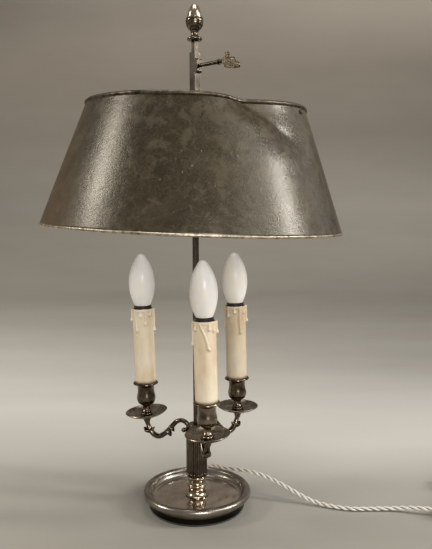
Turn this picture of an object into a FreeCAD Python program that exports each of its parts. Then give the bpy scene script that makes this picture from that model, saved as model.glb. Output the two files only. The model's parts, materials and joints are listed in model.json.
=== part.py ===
import FreeCAD, Part
import math
import os
from FreeCAD import Rotation, Vector

os.makedirs("parts", exist_ok=True)

# Bouillotte lamp, in millimetres. +Z is up, the lamp is seen from -Y, and the origin is
# the point of the table under the middle of the column. Azimuth 0 faces the viewer (-Y)
# and azimuth 90 is to the viewer's right (+X).

# Fits
sliding_gap = 0.08
thread_gap = 0.05
loose_gap = 0.3
bore_gap = 0.1

# Base
felt_radius = 64.2
felt_thickness = 2.0
skirt_radius = 64.5
rim_radius = 68.0
rim_bead_radius = 5.0
rim_bead_height = 20.0
floor_radius = 57.0
floor_height = 14.2
dish_wall = 1.5
weight_thickness = 9.0
weight_hole_radius = 12.5
tie_radius = 5.0
tie_bore_radius = 3.2
tie_end_height = 3.6
washer_radius = 10.0
washer_thickness = 1.6
nut_across_flats = 17.0
nut_thickness = 5.0

# Column
foot_radius = 15.4
foot_ring_radius = 13.3
foot_ring_height = 28.7
upper_ring_height = 40.3
column_radius = 14.0
column_bore_radius = 10.2
shaft_bottom = 42.4
shaft_top = 100.0
flute_count = 16
flute_radius = 2.2
flute_margin = 4.2
hub_radius = 11.4
hub_top = 113.6
hub_moulding_radius = 14.6

# Arms and what stands on them
arm_reach = 72.0
arm_azimuths = {"front": 11.0, "right": 126.5, "left": -109.0}
arm_tenon_radius = 2.6
arm_tenon_length = 4.5
pan_seat_height = 116.9
candle_lean = 1.4
pan_skews = {"front": -1.5, "right": 2.0, "left": -4.5}
pan_radius = 28.6
pan_thickness = 1.3
pan_rise = 5.2
pan_boss_radius = 8.6
pan_boss_thickness = 3.0
cup_height = 45.1
cup_socket_radius = 10.0
cup_socket_depth = 11.0
cup_nut_radius = 7.5
cup_nut_thickness = 3.5
candle_tube_radius = 3.3
candle_tube_bore = 2.3
candle_tube_drop = 9.0

# Candle sleeves, holders and bulbs
sleeve_height = 102.6
sleeve_radius = 14.2
sleeve_bore_radius = 12.1
drip_count = 7
drip_radius = 1.7
holder_radius = 11.8
holder_length = 46.0
holder_proud = 3.2
bulb_cap_radius = 6.9
bulb_cap_length = 24.0
bulb_radius = 17.5
bulb_length = 69.0
bulb_neck_radius = 10.4
bulb_glass_wall = 0.9

# Stem, shade carrier and key
stem_side = 6.2
stem_top = 611.5
stem_tenon_length = 22.0
stem_tenon_radius = 3.1
stem_stud_radius = 2.3
stem_stud_length = 9.0
carrier_side = 9.4
carrier_top = 597.0
carrier_bottom = 500.0
carrier_foot_side = 17.0
carrier_foot_thickness = 2.6
boss_height = 16.5
boss_depth = 4.2
key_height = 580.0
key_azimuth = 45.0
key_rod_radius = 2.4
key_rod_end = 47.0
key_wing_thickness = 3.0

# Shade
shade_height = 150.0
shade_top_radius = 139.0
shade_bottom_radius = 193.0
shade_sheet = 1.0
shade_bottom_height = 377.0
shade_tilt = 2.24
shade_pivot_height = 480.0
top_bead_radius = 3.0
bottom_bead_radius = 2.0
spider_azimuths = (61.0, -119.0)
spider_bar_width = 10.0
spider_bar_thickness = 3.0
spider_collar_radius = 13.0
spider_collar_thickness = 9.0
spider_tab_height = 15.0
spider_tab_thickness = 2.0
screw_drop = 6.6
screw_head_radius = 3.0
screw_shank_radius = 1.5

# Finial
finial_height = 44.5
finial_flange_radius = 9.6
finial_flange_thickness = 3.4
finial_cup_radius = 11.3
finial_nut_radius = 9.0

# Cord and what is on it
cord_diameter = 6.2
cord_exit_azimuth = 143.0
cord_exit_height = 47.0
bush_radius = 3.4
bush_flange = 1.0
bush_proud = 1.4
cord_lead_length = 15.0
coil_gap = 0.6
coil_lead_radius = 51.0
coil_lead_length = 36.0
coil_turns_per_layer = 3
plug_clearance = 38.0
switch_length = 56.0
switch_width = 25.0
switch_height = 17.6
rocker_length = 19.0
rocker_width = 9.5
rocker_axle_radius = 1.6
rocker_axle_height = 3.4
rocker_tilt = 9.0
plug_width = 35.0
plug_length = 36.0
plug_pin_radius = 2.0
plug_pin_length = 19.0
plug_pin_spacing = 19.0

# Worked-out sizes
coil_pitch = cord_diameter + coil_gap
lying_height = cord_diameter / 2
switch_axis_height = switch_height / 2
plug_axis_height = lying_height + coil_pitch
felt_top = felt_thickness
dish_underside = floor_height - dish_wall
hub_bottom = shaft_top
cup_foot = pan_boss_thickness
cup_lip = cup_foot + cup_height
sleeve_top = cup_lip + sleeve_height
holder_top = sleeve_top + holder_proud
holder_bottom = holder_top - holder_length


def around(azimuth):
    """Unit vector on the table at an azimuth from the viewer's side."""
    angle = math.radians(azimuth)
    return Vector(math.sin(angle), -math.cos(angle), 0)


def turn_z(shape, azimuth):
    """A copy of a shape made towards +X, turned to face an azimuth."""
    copy = shape.copy()
    copy.rotate(Vector(0, 0, 0), Vector(0, 0, 1), azimuth - 90)
    return copy


def profile_face(steps):
    """Face in the XZ plane. A step is a corner (x, z), or an arc (mid x, mid z, x, z)."""
    here = Vector(steps[0][0], 0, steps[0][1])
    edges = []
    for step in list(steps[1:]) + [steps[0][-2:]]:
        there = Vector(step[-2], 0, step[-1])
        if len(step) == 4:
            arc = Part.Arc(here, Vector(step[0], 0, step[1]), there).toShape()
            if 1e-6 < abs(arc.Curve.Center.x) < arc.Curve.Radius:
                arc = arc.Curve.toBSpline(arc.FirstParameter, arc.LastParameter).toShape()
            edges.append(arc)
        elif here.distanceToPoint(there) > 1e-6:
            edges.append(Part.LineSegment(here, there).toShape())
        here = there
    return Part.Face(Part.Wire(edges))


def turned(*steps):
    """Solid turned about Z from a profile of corners and arcs."""
    return profile_face(steps).revolve(Vector(0, 0, 0), Vector(0, 0, 1), 360)


def upright(radius, bottom, top, x=0.0, y=0.0):
    return Part.makeCylinder(radius, top - bottom, Vector(x, y, bottom))


def pipe(outer, inner, bottom, top):
    return upright(outer, bottom, top).cut(upright(inner, bottom - 1, top + 1))


def square_bar(side, bottom, top, angle=45.0):
    """Square bar on the axis, with its corners to the viewer at 45 degrees."""
    bar = Part.makeBox(side, side, top - bottom, Vector(-side / 2, -side / 2, bottom))
    bar.rotate(Vector(0, 0, 0), Vector(0, 0, 1), angle)
    return bar


def joined(shapes):
    """One solid out of several that overlap, without leftover seams."""
    return shapes[0].multiFuse(shapes[1:]).removeSplitter()


def horn(stations, flatness):
    """Curved tapering body through (reach, height, radius) stations in the XZ plane.

    Sections are ellipses that are wider across the plane by the flatness.
    """
    path = Part.BSplineCurve()
    path.interpolate([Vector(x, 0, z) for x, z, _ in stations])
    rings = []
    for x, z, radius in stations:
        centre = Vector(x, 0, z)
        along = path.tangent(path.parameter(centre))[0]
        normal = along.cross(Vector(0, 1, 0))
        ellipse = Part.Ellipse(
            centre + Vector(0, radius * flatness, 0), centre + normal * radius, centre
        )
        rings.append(Part.Wire(ellipse.toShape()))
    return Part.makeLoft(rings, True, False)


def save(name, shape):
    if not shape.isValid():
        print("not valid:", name)
    shape.exportStep("parts/" + name + ".step")


def base_dish():
    rim_top = rim_bead_height + rim_bead_radius
    rim_bottom = rim_bead_height - rim_bead_radius
    slant = rim_bead_radius * math.sqrt(0.5)
    inner_edge = rim_radius - rim_bead_radius
    return turned(
        (tie_radius + bore_gap, dish_underside),
        (tie_radius + bore_gap, floor_height),
        (floor_radius, floor_height),
        (floor_radius + 3.4, floor_height + 1.8, inner_edge, rim_bead_height),
        (rim_radius - slant, rim_bead_height + slant, rim_radius, rim_top),
        (rim_radius + slant, rim_bead_height + slant, rim_radius + rim_bead_radius, rim_bead_height),
        (rim_radius + slant, rim_bead_height - slant, rim_radius, rim_bottom),
        (skirt_radius, rim_bottom),
        (skirt_radius - 1.2, 9.0, skirt_radius - 0.6, felt_top),
        (skirt_radius - 3.0, felt_top),
        (skirt_radius - 3.0, dish_underside),
    )


def base_weight():
    radius = skirt_radius - 3.0 - loose_gap
    top = felt_top + weight_thickness
    ring = turned(
        (weight_hole_radius, felt_top),
        (radius, felt_top),
        (radius, top - 2.0),
        (radius - 2.0, top),
        (weight_hole_radius, top),
    )
    return ring


def tie_washer():
    return pipe(washer_radius, tie_radius + bore_gap, dish_underside - washer_thickness, dish_underside)


def tie_nut():
    top = dish_underside - washer_thickness
    corner = nut_across_flats / math.sqrt(3)
    corners = [
        Vector(corner * math.cos(math.radians(60 * i)), corner * math.sin(math.radians(60 * i)), 0)
        for i in range(7)
    ]
    hexagon = Part.Face(Part.makePolygon(corners)).extrude(Vector(0, 0, nut_thickness))
    hexagon.translate(Vector(0, 0, top - nut_thickness))
    return hexagon.cut(upright(tie_radius + thread_gap, 0, top + 1))


def tie_tube():
    return pipe(tie_radius, tie_bore_radius, tie_end_height, hub_bottom + 6.0)


def cord_hole(radius, start, length):
    """Cylinder along the cord's way out of the column."""
    way = around(cord_exit_azimuth)
    return Part.makeCylinder(radius, length, way * start + Vector(0, 0, cord_exit_height), way)


def column_foot():
    ring = 1.9
    low = foot_ring_height
    high = upper_ring_height
    return turned(
        (tie_radius + bore_gap, floor_height),
        (foot_radius, floor_height),
        (foot_radius, floor_height + 1.2),
        (11.9, 19.0, 11.3, low - ring - 1.0),
        (12.4, low - ring),
        (foot_ring_radius, low, 12.4, low + ring),
        (11.2, low + ring + 0.8),
        (10.4, (low + high) / 2, 11.4, high - ring - 0.6),
        (12.4, high - ring),
        (foot_ring_radius + 0.2, high, 12.6, high + ring),
        (12.6, shaft_bottom),
        (column_bore_radius, shaft_bottom),
        (column_bore_radius, high - 3.0),
        (tie_radius + bore_gap, high - 3.0),
    )


def column_shaft():
    shaft = pipe(column_radius, column_bore_radius, shaft_bottom, shaft_top)
    low = shaft_bottom + flute_margin
    high = shaft_top - flute_margin
    offset = column_radius + 0.5
    flute = joined([
        upright(flute_radius, low, high, offset),
        Part.makeSphere(flute_radius, Vector(offset, 0, low)),
        Part.makeSphere(flute_radius, Vector(offset, 0, high)),
    ])
    flutes = []
    for i in range(flute_count):
        copy = flute.copy()
        copy.rotate(Vector(0, 0, 0), Vector(0, 0, 1), 360.0 * (i + 0.5) / flute_count)
        flutes.append(copy)
    return shaft.cut(Part.makeCompound(flutes)).cut(cord_hole(bush_radius + bore_gap, 6.0, 14.0))


def hub():
    body = turned(
        (0, hub_bottom),
        (hub_moulding_radius - 0.4, hub_bottom),
        (hub_moulding_radius + 0.3, hub_bottom + 1.4, hub_moulding_radius - 0.4, hub_bottom + 2.8),
        (hub_radius + 0.6, hub_bottom + 3.2, hub_radius, hub_bottom + 5.4),
        (hub_radius, hub_top - 1.2),
        (hub_radius - 0.35, hub_top - 0.35, hub_radius - 1.2, hub_top),
        (0, hub_top),
    )
    cuts = [
        upright(tie_radius + thread_gap, hub_bottom - 1, hub_bottom + 6.0 + loose_gap),
        upright(stem_tenon_radius + thread_gap, hub_bottom, hub_top + 1),
    ]
    way = around(cord_exit_azimuth) * lead_offset()
    cuts.append(upright(lead_radius() + bore_gap, hub_bottom - 1, hub_bottom + 4.0, way.x, way.y))
    for azimuth in arm_azimuths.values():
        way = around(azimuth)
        start = way * (hub_radius - arm_tenon_length - loose_gap) + Vector(0, 0, arm_root_height())
        cuts.append(Part.makeCylinder(arm_tenon_radius + thread_gap, hub_radius, start, way))
    return body.cut(Part.makeCompound(cuts))


def arm_root_height():
    return hub_top - 4.6


def lead_radius():
    return 1.9


def lead_offset():
    return (tie_radius + column_bore_radius) / 2


def wiring():
    """The cord's inner end: through the bush, then up beside the tie tube into the hub."""
    way = around(cord_exit_azimuth)
    corner = way * lead_offset() + Vector(0, 0, cord_exit_height)
    length = column_radius + bush_proud - lead_offset()
    across = Part.makeCylinder(lead_radius(), length, corner, way)
    up = Part.makeCylinder(lead_radius(), hub_bottom + 3.4 - cord_exit_height, corner)
    return joined([across, Part.makeSphere(lead_radius(), corner), up])


def cord_bush():
    """Insulating bush where the cord leaves the column."""
    length = column_radius + bush_proud - column_bore_radius
    bush = cord_hole(bush_radius, column_bore_radius, length)
    flange = cord_hole(bush_radius + bush_flange, column_radius + 0.1, bush_proud - 0.1)
    return joined([bush, flange]).cut(cord_hole(lead_radius() + bore_gap, 0, column_radius + 9))


def arm():
    """S-scroll arm towards +X, with leaf spurs, a root volute and the cone under its pan."""
    root = arm_root_height()
    scroll = horn(
        [
            (hub_radius - 1.5, root + 0.2, 3.2),
            (15.5, root + 4.6, 3.0),
            (21.5, root + 6.6, 2.9),
            (29.0, root + 3.8, 3.1),
            (36.5, root - 4.6, 3.4),
            (45.0, root - 13.4, 3.5),
            (55.0, root - 18.9, 3.5),
            (64.0, root - 15.0, 3.6),
            (69.4, root - 6.8, 3.3),
            (71.4, root + 1.0, 2.7),
        ],
        1.12,
    )
    cone = horn(
        [(70.6, root - 4.6, 2.4), (71.5, root + 0.6, 3.9), (arm_reach, pan_seat_height - 2.0, 6.0)],
        1.05,
    )
    collar = Part.makeCylinder(6.8, 2.8, Vector(arm_reach, 0, pan_seat_height - 2.4))
    outer_leaf = horn(
        [(68.4, root - 12.3, 3.1), (72.4, root - 12.2, 2.7), (76.0, root - 8.0, 0.9)], 1.7
    )
    inner_leaf = horn(
        [(68.6, root - 10.2, 2.9), (64.6, root - 10.0, 2.3), (61.6, root - 6.6, 0.8)], 1.7
    )
    spur = horn(
        [(43.4, root - 9.2, 3.5), (39.4, root - 12.4, 3.2), (37.0, root - 16.6, 1.2)], 1.6
    )
    back_leaf = horn(
        [(38.4, root - 5.0, 3.0), (34.6, root - 6.6, 2.5), (32.6, root - 9.8, 0.9)], 1.6
    )
    volute = horn(
        [(12.2, root - 1.0, 2.5), (14.6, root - 4.6, 2.0), (18.0, root - 6.4, 1.8)], 1.2
    )
    ball = turned((0, -3.1), (1.13, -3.1), (3.3, 0, 1.13, 3.1), (0, 3.1))
    ball.rotate(Vector(0, 0, 0), Vector(1, 0, 0), 90)
    ball.translate(Vector(18.3, 0, root - 6.4))
    body = joined([scroll, cone, collar, outer_leaf, inner_leaf, spur, back_leaf, volute, ball])
    body = body.cut(upright(hub_radius, 0, hub_top + 20))
    tenon = Part.makeCylinder(
        arm_tenon_radius, arm_tenon_length + 2.0,
        Vector(hub_radius - arm_tenon_length, 0, root), Vector(1, 0, 0),
    )
    return joined([body, tenon])


def seated_arm(plain_arm, azimuth):
    """Cuts the pan's seat and the tube's bore, which lean as the candle does, and turns the arm."""
    bore = upright(candle_tube_radius + thread_gap, -candle_tube_drop - loose_gap, 1)
    room = on_arm(joined([bore, upright(12.0, 0, 12.0)]), azimuth)
    room.rotate(Vector(0, 0, 0), Vector(0, 0, 1), 90 - azimuth)
    return turn_z(plain_arm.cut(room), azimuth)


def pan(skew):
    """Drip pan: a shallow saucer, askew on a level boss."""
    edge = pan_boss_thickness + pan_rise
    half = (pan_boss_radius + pan_radius) / 2
    low = pan_boss_thickness - pan_thickness - 0.8
    inner = pan_boss_radius - 2.5
    saucer = turned(
        (inner - 2.0, low),
        (inner, low),
        (half, low + 1.0, pan_radius - 0.6, edge - pan_thickness),
        (pan_radius, edge - 0.5),
        (pan_radius - 0.4, edge),
        (pan_radius - 1.2, edge),
        (half, low + pan_thickness + 1.0, inner, low + pan_thickness),
        (inner - 2.0, low + pan_thickness),
    )
    saucer.rotate(Vector(0, 0, pan_boss_thickness), Vector(0, 1, 0), skew)
    boss = upright(pan_boss_radius, 0, pan_boss_thickness)
    bore = upright(candle_tube_radius + bore_gap, -1, edge + 2)
    return joined([saucer, boss]).cut(bore)


def cup():
    """Candle cup: moulded foot, thin neck, bulge, waist and a flat turned-out lip."""
    z = cup_foot
    top = cup_lip
    return turned(
        (candle_tube_radius + bore_gap, z),
        (7.2, z),
        (7.7, z + 1.3, 7.2, z + 2.6),
        (6.0, z + 3.3),
        (6.5, z + 4.6, 5.8, z + 5.9),
        (4.9, z + 7.6, 4.8, z + 10.0),
        (5.0, z + 11.8, 6.4, z + 13.2),
        (11.0, z + 16.4, 12.9, z + 22.6),
        (12.5, z + 27.0, 11.3, z + 30.6),
        (11.2, z + 35.4),
        (12.2, z + 38.6, 15.6, z + 40.0),
        (16.4, z + 40.2),
        (16.9, z + 42.4, 16.5, top - 0.5),
        (16.0, top),
        (cup_socket_radius, top),
        (cup_socket_radius, top - cup_socket_depth),
        (candle_tube_radius + bore_gap, top - cup_socket_depth),
    )


def cup_nut():
    bottom = cup_lip - cup_socket_depth
    return pipe(cup_nut_radius, candle_tube_radius + thread_gap, bottom, bottom + cup_nut_thickness)


def candle_tube():
    return pipe(candle_tube_radius, candle_tube_bore, -candle_tube_drop, holder_bottom + 6.0)


def lampholder():
    """Black holder inside the sleeve, its rim just above it, with a screwed socket."""
    socket = bulb_cap_length + 1.5
    return turned(
        (candle_tube_radius + thread_gap, holder_bottom),
        (holder_radius - 2.0, holder_bottom),
        (holder_radius, holder_bottom + 2.0),
        (holder_radius, holder_top - 0.6),
        (holder_radius - 0.6, holder_top),
        (bulb_cap_radius + sliding_gap, holder_top),
        (bulb_cap_radius + sliding_gap, holder_top - socket),
        (2.0, holder_top - socket),
        (2.0, holder_bottom + 8.0),
        (candle_tube_radius + thread_gap, holder_bottom + 8.0),
    )


def candle_sleeve():
    """Cream tube with wax runs from its rounded top edge."""
    tube = turned(
        (sleeve_bore_radius, cup_lip),
        (sleeve_radius, cup_lip),
        (sleeve_radius, sleeve_top - 2.0),
        (sleeve_radius + 0.9, sleeve_top - 1.2, sleeve_radius - 0.4, sleeve_top),
        (sleeve_bore_radius, sleeve_top),
    )
    runs = []
    for i in range(drip_count):
        length = 8.0 + 9.0 * abs(math.sin(2.3 * i + 0.6))
        top = sleeve_top - 1.8
        run = joined([
            upright(drip_radius * 0.8, top - length, top, sleeve_radius - 0.5),
            Part.makeSphere(drip_radius, Vector(sleeve_radius - 0.6, 0, top - length)),
        ])
        run.rotate(Vector(0, 0, 0), Vector(0, 0, 1), 360.0 * i / drip_count + 14.0 * math.sin(5.0 * i))
        runs.append(run)
    return joined([tube] + runs).cut(upright(sleeve_bore_radius, cup_lip - 1, sleeve_top + 1))


def bulb_cap():
    bottom = holder_top - bulb_cap_length
    return turned(
        (0, bottom),
        (3.4, bottom),
        (4.0, bottom + 1.6),
        (bulb_cap_radius, bottom + 3.6),
        (bulb_cap_radius, holder_top + 0.6),
        (0, holder_top + 0.6),
    )


def bulb_glass():
    """Candle-shaped opal envelope, open below where the cap closes it."""
    low = holder_top + 0.6
    length = bulb_length
    tip = low + length
    belly = low + 0.43 * length
    wall = bulb_glass_wall
    radius = bulb_radius
    return turned(
        (bulb_cap_radius - 1.0, low),
        (bulb_neck_radius, low),
        (0.888 * radius, low + 0.2 * length, radius, belly),
        (0.857 * radius, low + 0.682 * length, 0.32 * radius, low + 0.959 * length),
        (0.178 * radius, low + 0.989 * length, 0, tip),
        (0, tip - 1.4 * wall),
        (0.15 * radius, low + 0.971 * length, 0.32 * radius - wall, low + 0.944 * length),
        (0.85 * radius - wall, low + 0.676 * length, radius - wall, belly),
        (0.888 * radius - wall, low + 0.2 * length, bulb_neck_radius - wall, low + wall),
        (bulb_cap_radius - 1.0, low + wall),
    )


def stem():
    bar = square_bar(stem_side, hub_top, stem_top)
    upright_edges = [e for e in bar.Edges if abs(e.Length - (stem_top - hub_top)) < 1e-3]
    bar = bar.makeChamfer(0.35, upright_edges)
    tenon = upright(stem_tenon_radius, hub_top - stem_tenon_length, hub_top)
    stud = upright(stem_stud_radius, stem_top, stem_top + stem_stud_length)
    return joined([bar, tenon, stud])


def key_frame(shape):
    """Puts a shape made along +X, with its height from the key's axis, on the key's axis."""
    placed = turn_z(shape, key_azimuth)
    placed.translate(Vector(0, 0, key_height))
    return placed


def shade_carrier():
    """Square sleeve that slides on the stem, with the key's boss and a foot for the spider."""
    sleeve = square_bar(carrier_side, carrier_bottom, carrier_top)
    foot = square_bar(carrier_foot_side, carrier_bottom, carrier_bottom + carrier_foot_thickness)
    face = carrier_side / 2
    boss = Part.makeBox(
        face + boss_depth, carrier_side, boss_height, Vector(0, -carrier_side / 2, -boss_height / 2)
    )
    outer = face + boss_depth
    ends = [
        e for e in boss.Edges
        if abs(e.CenterOfMass.x - outer) < 1e-3 and abs(abs(e.CenterOfMass.z) - boss_height / 2) < 1e-3
    ]
    boss = key_frame(boss.makeChamfer(1.6, ends))
    body = joined([sleeve, foot, boss])
    bore = square_bar(stem_side + 2 * sliding_gap, carrier_bottom - 1, carrier_top + 1)
    hole = key_frame(Part.makeCylinder(key_rod_radius + thread_gap, outer + 1, Vector(0, 0, 0), Vector(1, 0, 0)))
    return body.cut(bore).cut(hole)


def shade_key():
    """Thumb screw: rod, collar and a pierced-looking leaf-shaped wing."""
    start = stem_side / 2 + bore_gap
    rod = Part.makeCylinder(key_rod_radius, key_rod_end - start, Vector(start, 0, 0), Vector(1, 0, 0))
    collar = Part.makeCylinder(3.6, 2.2, Vector(key_rod_end - 6.0, 0, 0), Vector(1, 0, 0))
    x = key_rod_end
    outline = profile_face([
        (x - 3.0, 2.2),
        (x + 2.4, 3.2, x + 5.4, 8.2),
        (x + 8.4, 10.6, x + 11.2, 6.6),
        (x + 11.0, 3.6, x + 13.6, 1.4),
        (x + 17.2, 3.2, x + 20.6, 0.4),
        (x + 22.0, -2.2, x + 24.6, -3.4),
        (x + 28.2, -6.0, x + 27.2, -10.6),
        (x + 15.0, -10.0, x + 4.6, -8.0),
        (x + 3.4, -3.6, x - 3.0, -2.2),
    ])
    wing = outline.extrude(Vector(0, key_wing_thickness, 0))
    wing.translate(Vector(0, -key_wing_thickness / 2, 0))
    return key_frame(joined([rod, collar, wing]))


def hang(shape):
    """Moves a shape from the shade's own frame (axis Z, bottom edge at 0) to where it hangs."""
    placed = shape.copy()
    placed.translate(Vector(0, 0, shade_bottom_height))
    placed.rotate(Vector(0, 0, shade_pivot_height), Vector(0, 1, 0), shade_tilt)
    return placed


def wall_slope():
    return math.atan2(shade_bottom_radius - shade_top_radius, shade_height)


def on_wall(shape, azimuth, drop):
    """Puts a shape made along +X at the wall's outer face, a drop below the top edge."""
    radius = shade_top_radius + drop * math.tan(wall_slope())
    placed = shape.copy()
    placed.rotate(Vector(0, 0, 0), Vector(0, 1, 0), -math.degrees(wall_slope()))
    placed.translate(Vector(radius, 0, shade_height - drop))
    return turn_z(placed, azimuth)


def screw_holes(radius):
    hole = Part.makeCylinder(radius, 16.0, Vector(-8.0, 0, 0), Vector(1, 0, 0))
    return Part.makeCompound([on_wall(hole, a, screw_drop) for a in spider_azimuths])


def shade_wall():
    across = shade_sheet / math.cos(wall_slope())
    cone = turned(
        (shade_bottom_radius - across, 0),
        (shade_bottom_radius, 0),
        (shade_top_radius, shade_height),
        (shade_top_radius - across, shade_height),
    )
    return cone.cut(screw_holes(screw_shank_radius + bore_gap))


def shade_bead(radius, ring_radius, height, side):
    """Wired edge: a round bead slotted for the sheet. Side is 1 for the top edge, -1 below."""
    slope = wall_slope()
    half = shade_sheet / math.cos(slope) / 2
    centre = ring_radius - half
    out = math.sin(slope) * side
    up = -math.cos(slope) * side

    def mouth(offset):
        length = math.sqrt(radius ** 2 - (offset * up) ** 2) - offset * out
        return centre + offset + length * out, height + length * up

    return turned(
        (centre - half, height),
        mouth(-half),
        (centre - radius * out, height - radius * up) + mouth(half),
        (centre + half, height),
    )


def spider():
    """Cross bar of two arms from a collar on the carrier to the shade's top edge."""
    tab_face = -shade_sheet - loose_gap
    tab = Part.makeBox(
        spider_tab_thickness, spider_bar_width, spider_tab_height,
        Vector(tab_face - spider_tab_thickness, -spider_bar_width / 2, -spider_tab_height + 4.0),
    )
    bar_height = shade_height - screw_drop - spider_tab_height + 4.0
    drop = shade_height - bar_height - spider_bar_thickness
    reach = shade_top_radius + drop * math.tan(wall_slope())
    reach -= (shade_sheet + loose_gap) / math.cos(wall_slope()) + 0.3
    bar = Part.makeBox(
        reach, spider_bar_width, spider_bar_thickness, Vector(0, -spider_bar_width / 2, bar_height)
    )
    arms = [hang(turn_z(bar, a)) for a in spider_azimuths]
    arms += [hang(on_wall(tab, a, screw_drop)) for a in spider_azimuths]
    bottom = carrier_bottom + carrier_foot_thickness
    collar = upright(spider_collar_radius, bottom, bottom + spider_collar_thickness)
    body = joined([collar] + arms)
    hole = square_bar(carrier_side + 2 * sliding_gap, bottom - 1, bottom + 40)
    return body.cut(hole).cut(hang(screw_holes(screw_shank_radius + bore_gap)))


def shade_screws():
    """Round-headed screws through the shade's wall into the spider's tabs."""
    rise = 2.0
    sphere_radius = (screw_head_radius ** 2 + rise ** 2) / (2 * rise)
    ball = Part.makeSphere(sphere_radius, Vector(rise - sphere_radius, 0, 0))
    slab = Part.makeBox(rise + 1, 20, 20, Vector(0.1, -10, -10))
    head = ball.common(slab)
    shank = Part.makeCylinder(screw_shank_radius, 7.0, Vector(-6.5, 0, 0), Vector(1, 0, 0))
    screw = joined([head, shank])
    return Part.makeCompound([hang(on_wall(screw, a, screw_drop)) for a in spider_azimuths])


def shade_nuts():
    start = -shade_sheet - loose_gap - spider_tab_thickness
    nut = Part.makeBox(2.0, 5.5, 5.5, Vector(start - 2.0, -2.75, -2.75))
    nut = nut.cut(Part.makeCylinder(screw_shank_radius + thread_gap, 9, Vector(-8, 0, 0), Vector(1, 0, 0)))
    return Part.makeCompound([hang(on_wall(nut, a, screw_drop)) for a in spider_azimuths])


def finial_cup():
    """Acorn cup on a short neck, with the flange that stops the shade."""
    z = stem_top
    flange = finial_flange_thickness
    lip = z + 27.6
    return turned(
        (stem_stud_radius + thread_gap, z),
        (finial_flange_radius - 0.8, z),
        (finial_flange_radius, z + flange / 2, finial_flange_radius - 0.8, z + flange),
        (6.2, z + flange + 0.8),
        (4.7, z + 6.8, 4.6, z + 9.4),
        (5.4, z + 11.8),
        (9.4, z + 16.0, finial_cup_radius - 0.4, z + 21.6),
        (finial_cup_radius, z + 24.0, finial_cup_radius - 0.6, z + 26.4),
        (finial_cup_radius - 0.4, lip - 0.4, finial_cup_radius - 1.4, lip),
        (finial_nut_radius + 0.1, lip),
        (finial_nut_radius + 0.1, lip - 3.0),
        (stem_stud_radius + thread_gap, lip - 3.0),
    )


def finial_nut():
    """The acorn's nut, seated in its cup and pointed on top."""
    z = stem_top
    low = z + 24.6
    tip = z + finial_height
    return turned(
        (0, low),
        (finial_nut_radius, low),
        (finial_nut_radius, low + 3.6),
        (finial_nut_radius - 1.1, low + 10.2, 4.6, tip - 2.6),
        (2.6, tip - 0.7, 0, tip),
    )


def candle_parts():
    """Everything on one arm, in the arm's own frame: axis Z, seat of the pan at 0."""
    return {
        "cup": cup(),
        "cup_nut": cup_nut(),
        "candle_tube": candle_tube(),
        "lampholder": lampholder(),
        "candle_sleeve": candle_sleeve(),
        "bulb_cap": bulb_cap(),
        "bulb_glass": bulb_glass(),
    }


def on_arm(shape, azimuth):
    placed = shape.copy()
    placed.rotate(Vector(0, 0, 0), Vector(0, 1, 0), -candle_lean)
    placed.translate(around(azimuth) * arm_reach + Vector(0, 0, pan_seat_height))
    return placed


# The cord lies loose: out of the column's back, over the dish's rim, down to the table
# and along it to the switch. These points are its corners.
cord_start = around(cord_exit_azimuth) * (column_radius + bush_proud)
cord_lead = around(cord_exit_azimuth) * (column_radius + bush_proud + cord_lead_length)
cord_route = [
    (cord_start.x, cord_start.y, cord_exit_height),
    (cord_lead.x, cord_lead.y, cord_exit_height),
    (37.0, 35.0, lying_height + 33.2),
    (56.5, 33.0, lying_height + 31.4),
    (78.0, 25.5, lying_height + 31.0),
    (100.0, 17.0, lying_height + 25.4),
    (121.0, 6.5, lying_height + 17.9),
    (141.0, -2.5, lying_height + 8.4),
    (159.5, -9.5, lying_height + 1.5),
    (180.0, -20.0, lying_height),
    (205.0, -28.6, lying_height),
    (234.0, -28.6, lying_height),
    (264.0, -29.6, lying_height + 0.6),
    (290.0, -38.6, switch_axis_height),
    (316.0, -46.6, switch_axis_height),
]


def filleted_path(points):
    """Wire of straight runs joined by tangent arcs, as large as the runs allow."""
    corners = [Vector(*p) for p in points]
    edges = []
    radii = []
    here = corners[0]
    for before, corner, after in zip(corners, corners[1:], corners[2:]):
        inward = (before - corner).normalize()
        outward = (after - corner).normalize()
        turn = math.pi - inward.getAngle(outward)
        leg = 0.45 * min((before - corner).Length, (after - corner).Length)
        radius = leg / math.tan(turn / 2)
        start = corner + inward * leg
        end = corner + outward * leg
        bisector = (inward + outward).normalize()
        centre = corner + bisector * (radius / math.cos(turn / 2))
        middle = centre - bisector * radius
        edges.append(Part.LineSegment(here, start).toShape())
        edges.append(Part.Arc(start, middle, end).toShape())
        radii.append(radius)
        here = end
    edges.append(Part.LineSegment(here, corners[-1]).toShape())
    return Part.Wire(edges), radii


def swept(wire, radius):
    """Round tube along a tangent path."""
    first = wire.Edges[0]
    start = first.valueAt(first.FirstParameter)
    along = first.tangentAt(first.FirstParameter)
    ring = Part.Wire(Part.makeCircle(radius, start, along))
    return wire.makePipeShell([ring], True, False)


def cord():
    wire, radii = filleted_path(cord_route)
    tube = swept(wire, cord_diameter / 2)
    section = math.pi * (cord_diameter / 2) ** 2
    print("cord length", round(wire.Length, 1), "volume over section times length",
          round(tube.Volume / (section * wire.Length), 4))
    print("cord radii", [round(r, 1) for r in radii])
    return tube, wire.Length


def cord_heading():
    ends = [Vector(*p) for p in cord_route[-2:]]
    way = ends[1] - ends[0]
    way.z = 0
    return way.normalize()


def on_cord_axis(shape, distance, height):
    """Puts a shape made along +X on the cord's way, a distance past the switch's near end."""
    way = cord_heading()
    start = Vector(cord_route[-1][0], cord_route[-1][1], 0) + way * distance
    placed = shape.copy()
    placed.rotate(Vector(0, 0, 0), Vector(0, 0, 1), math.degrees(math.atan2(way.y, way.x)))
    placed.translate(Vector(start.x, start.y, height))
    return placed


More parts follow.
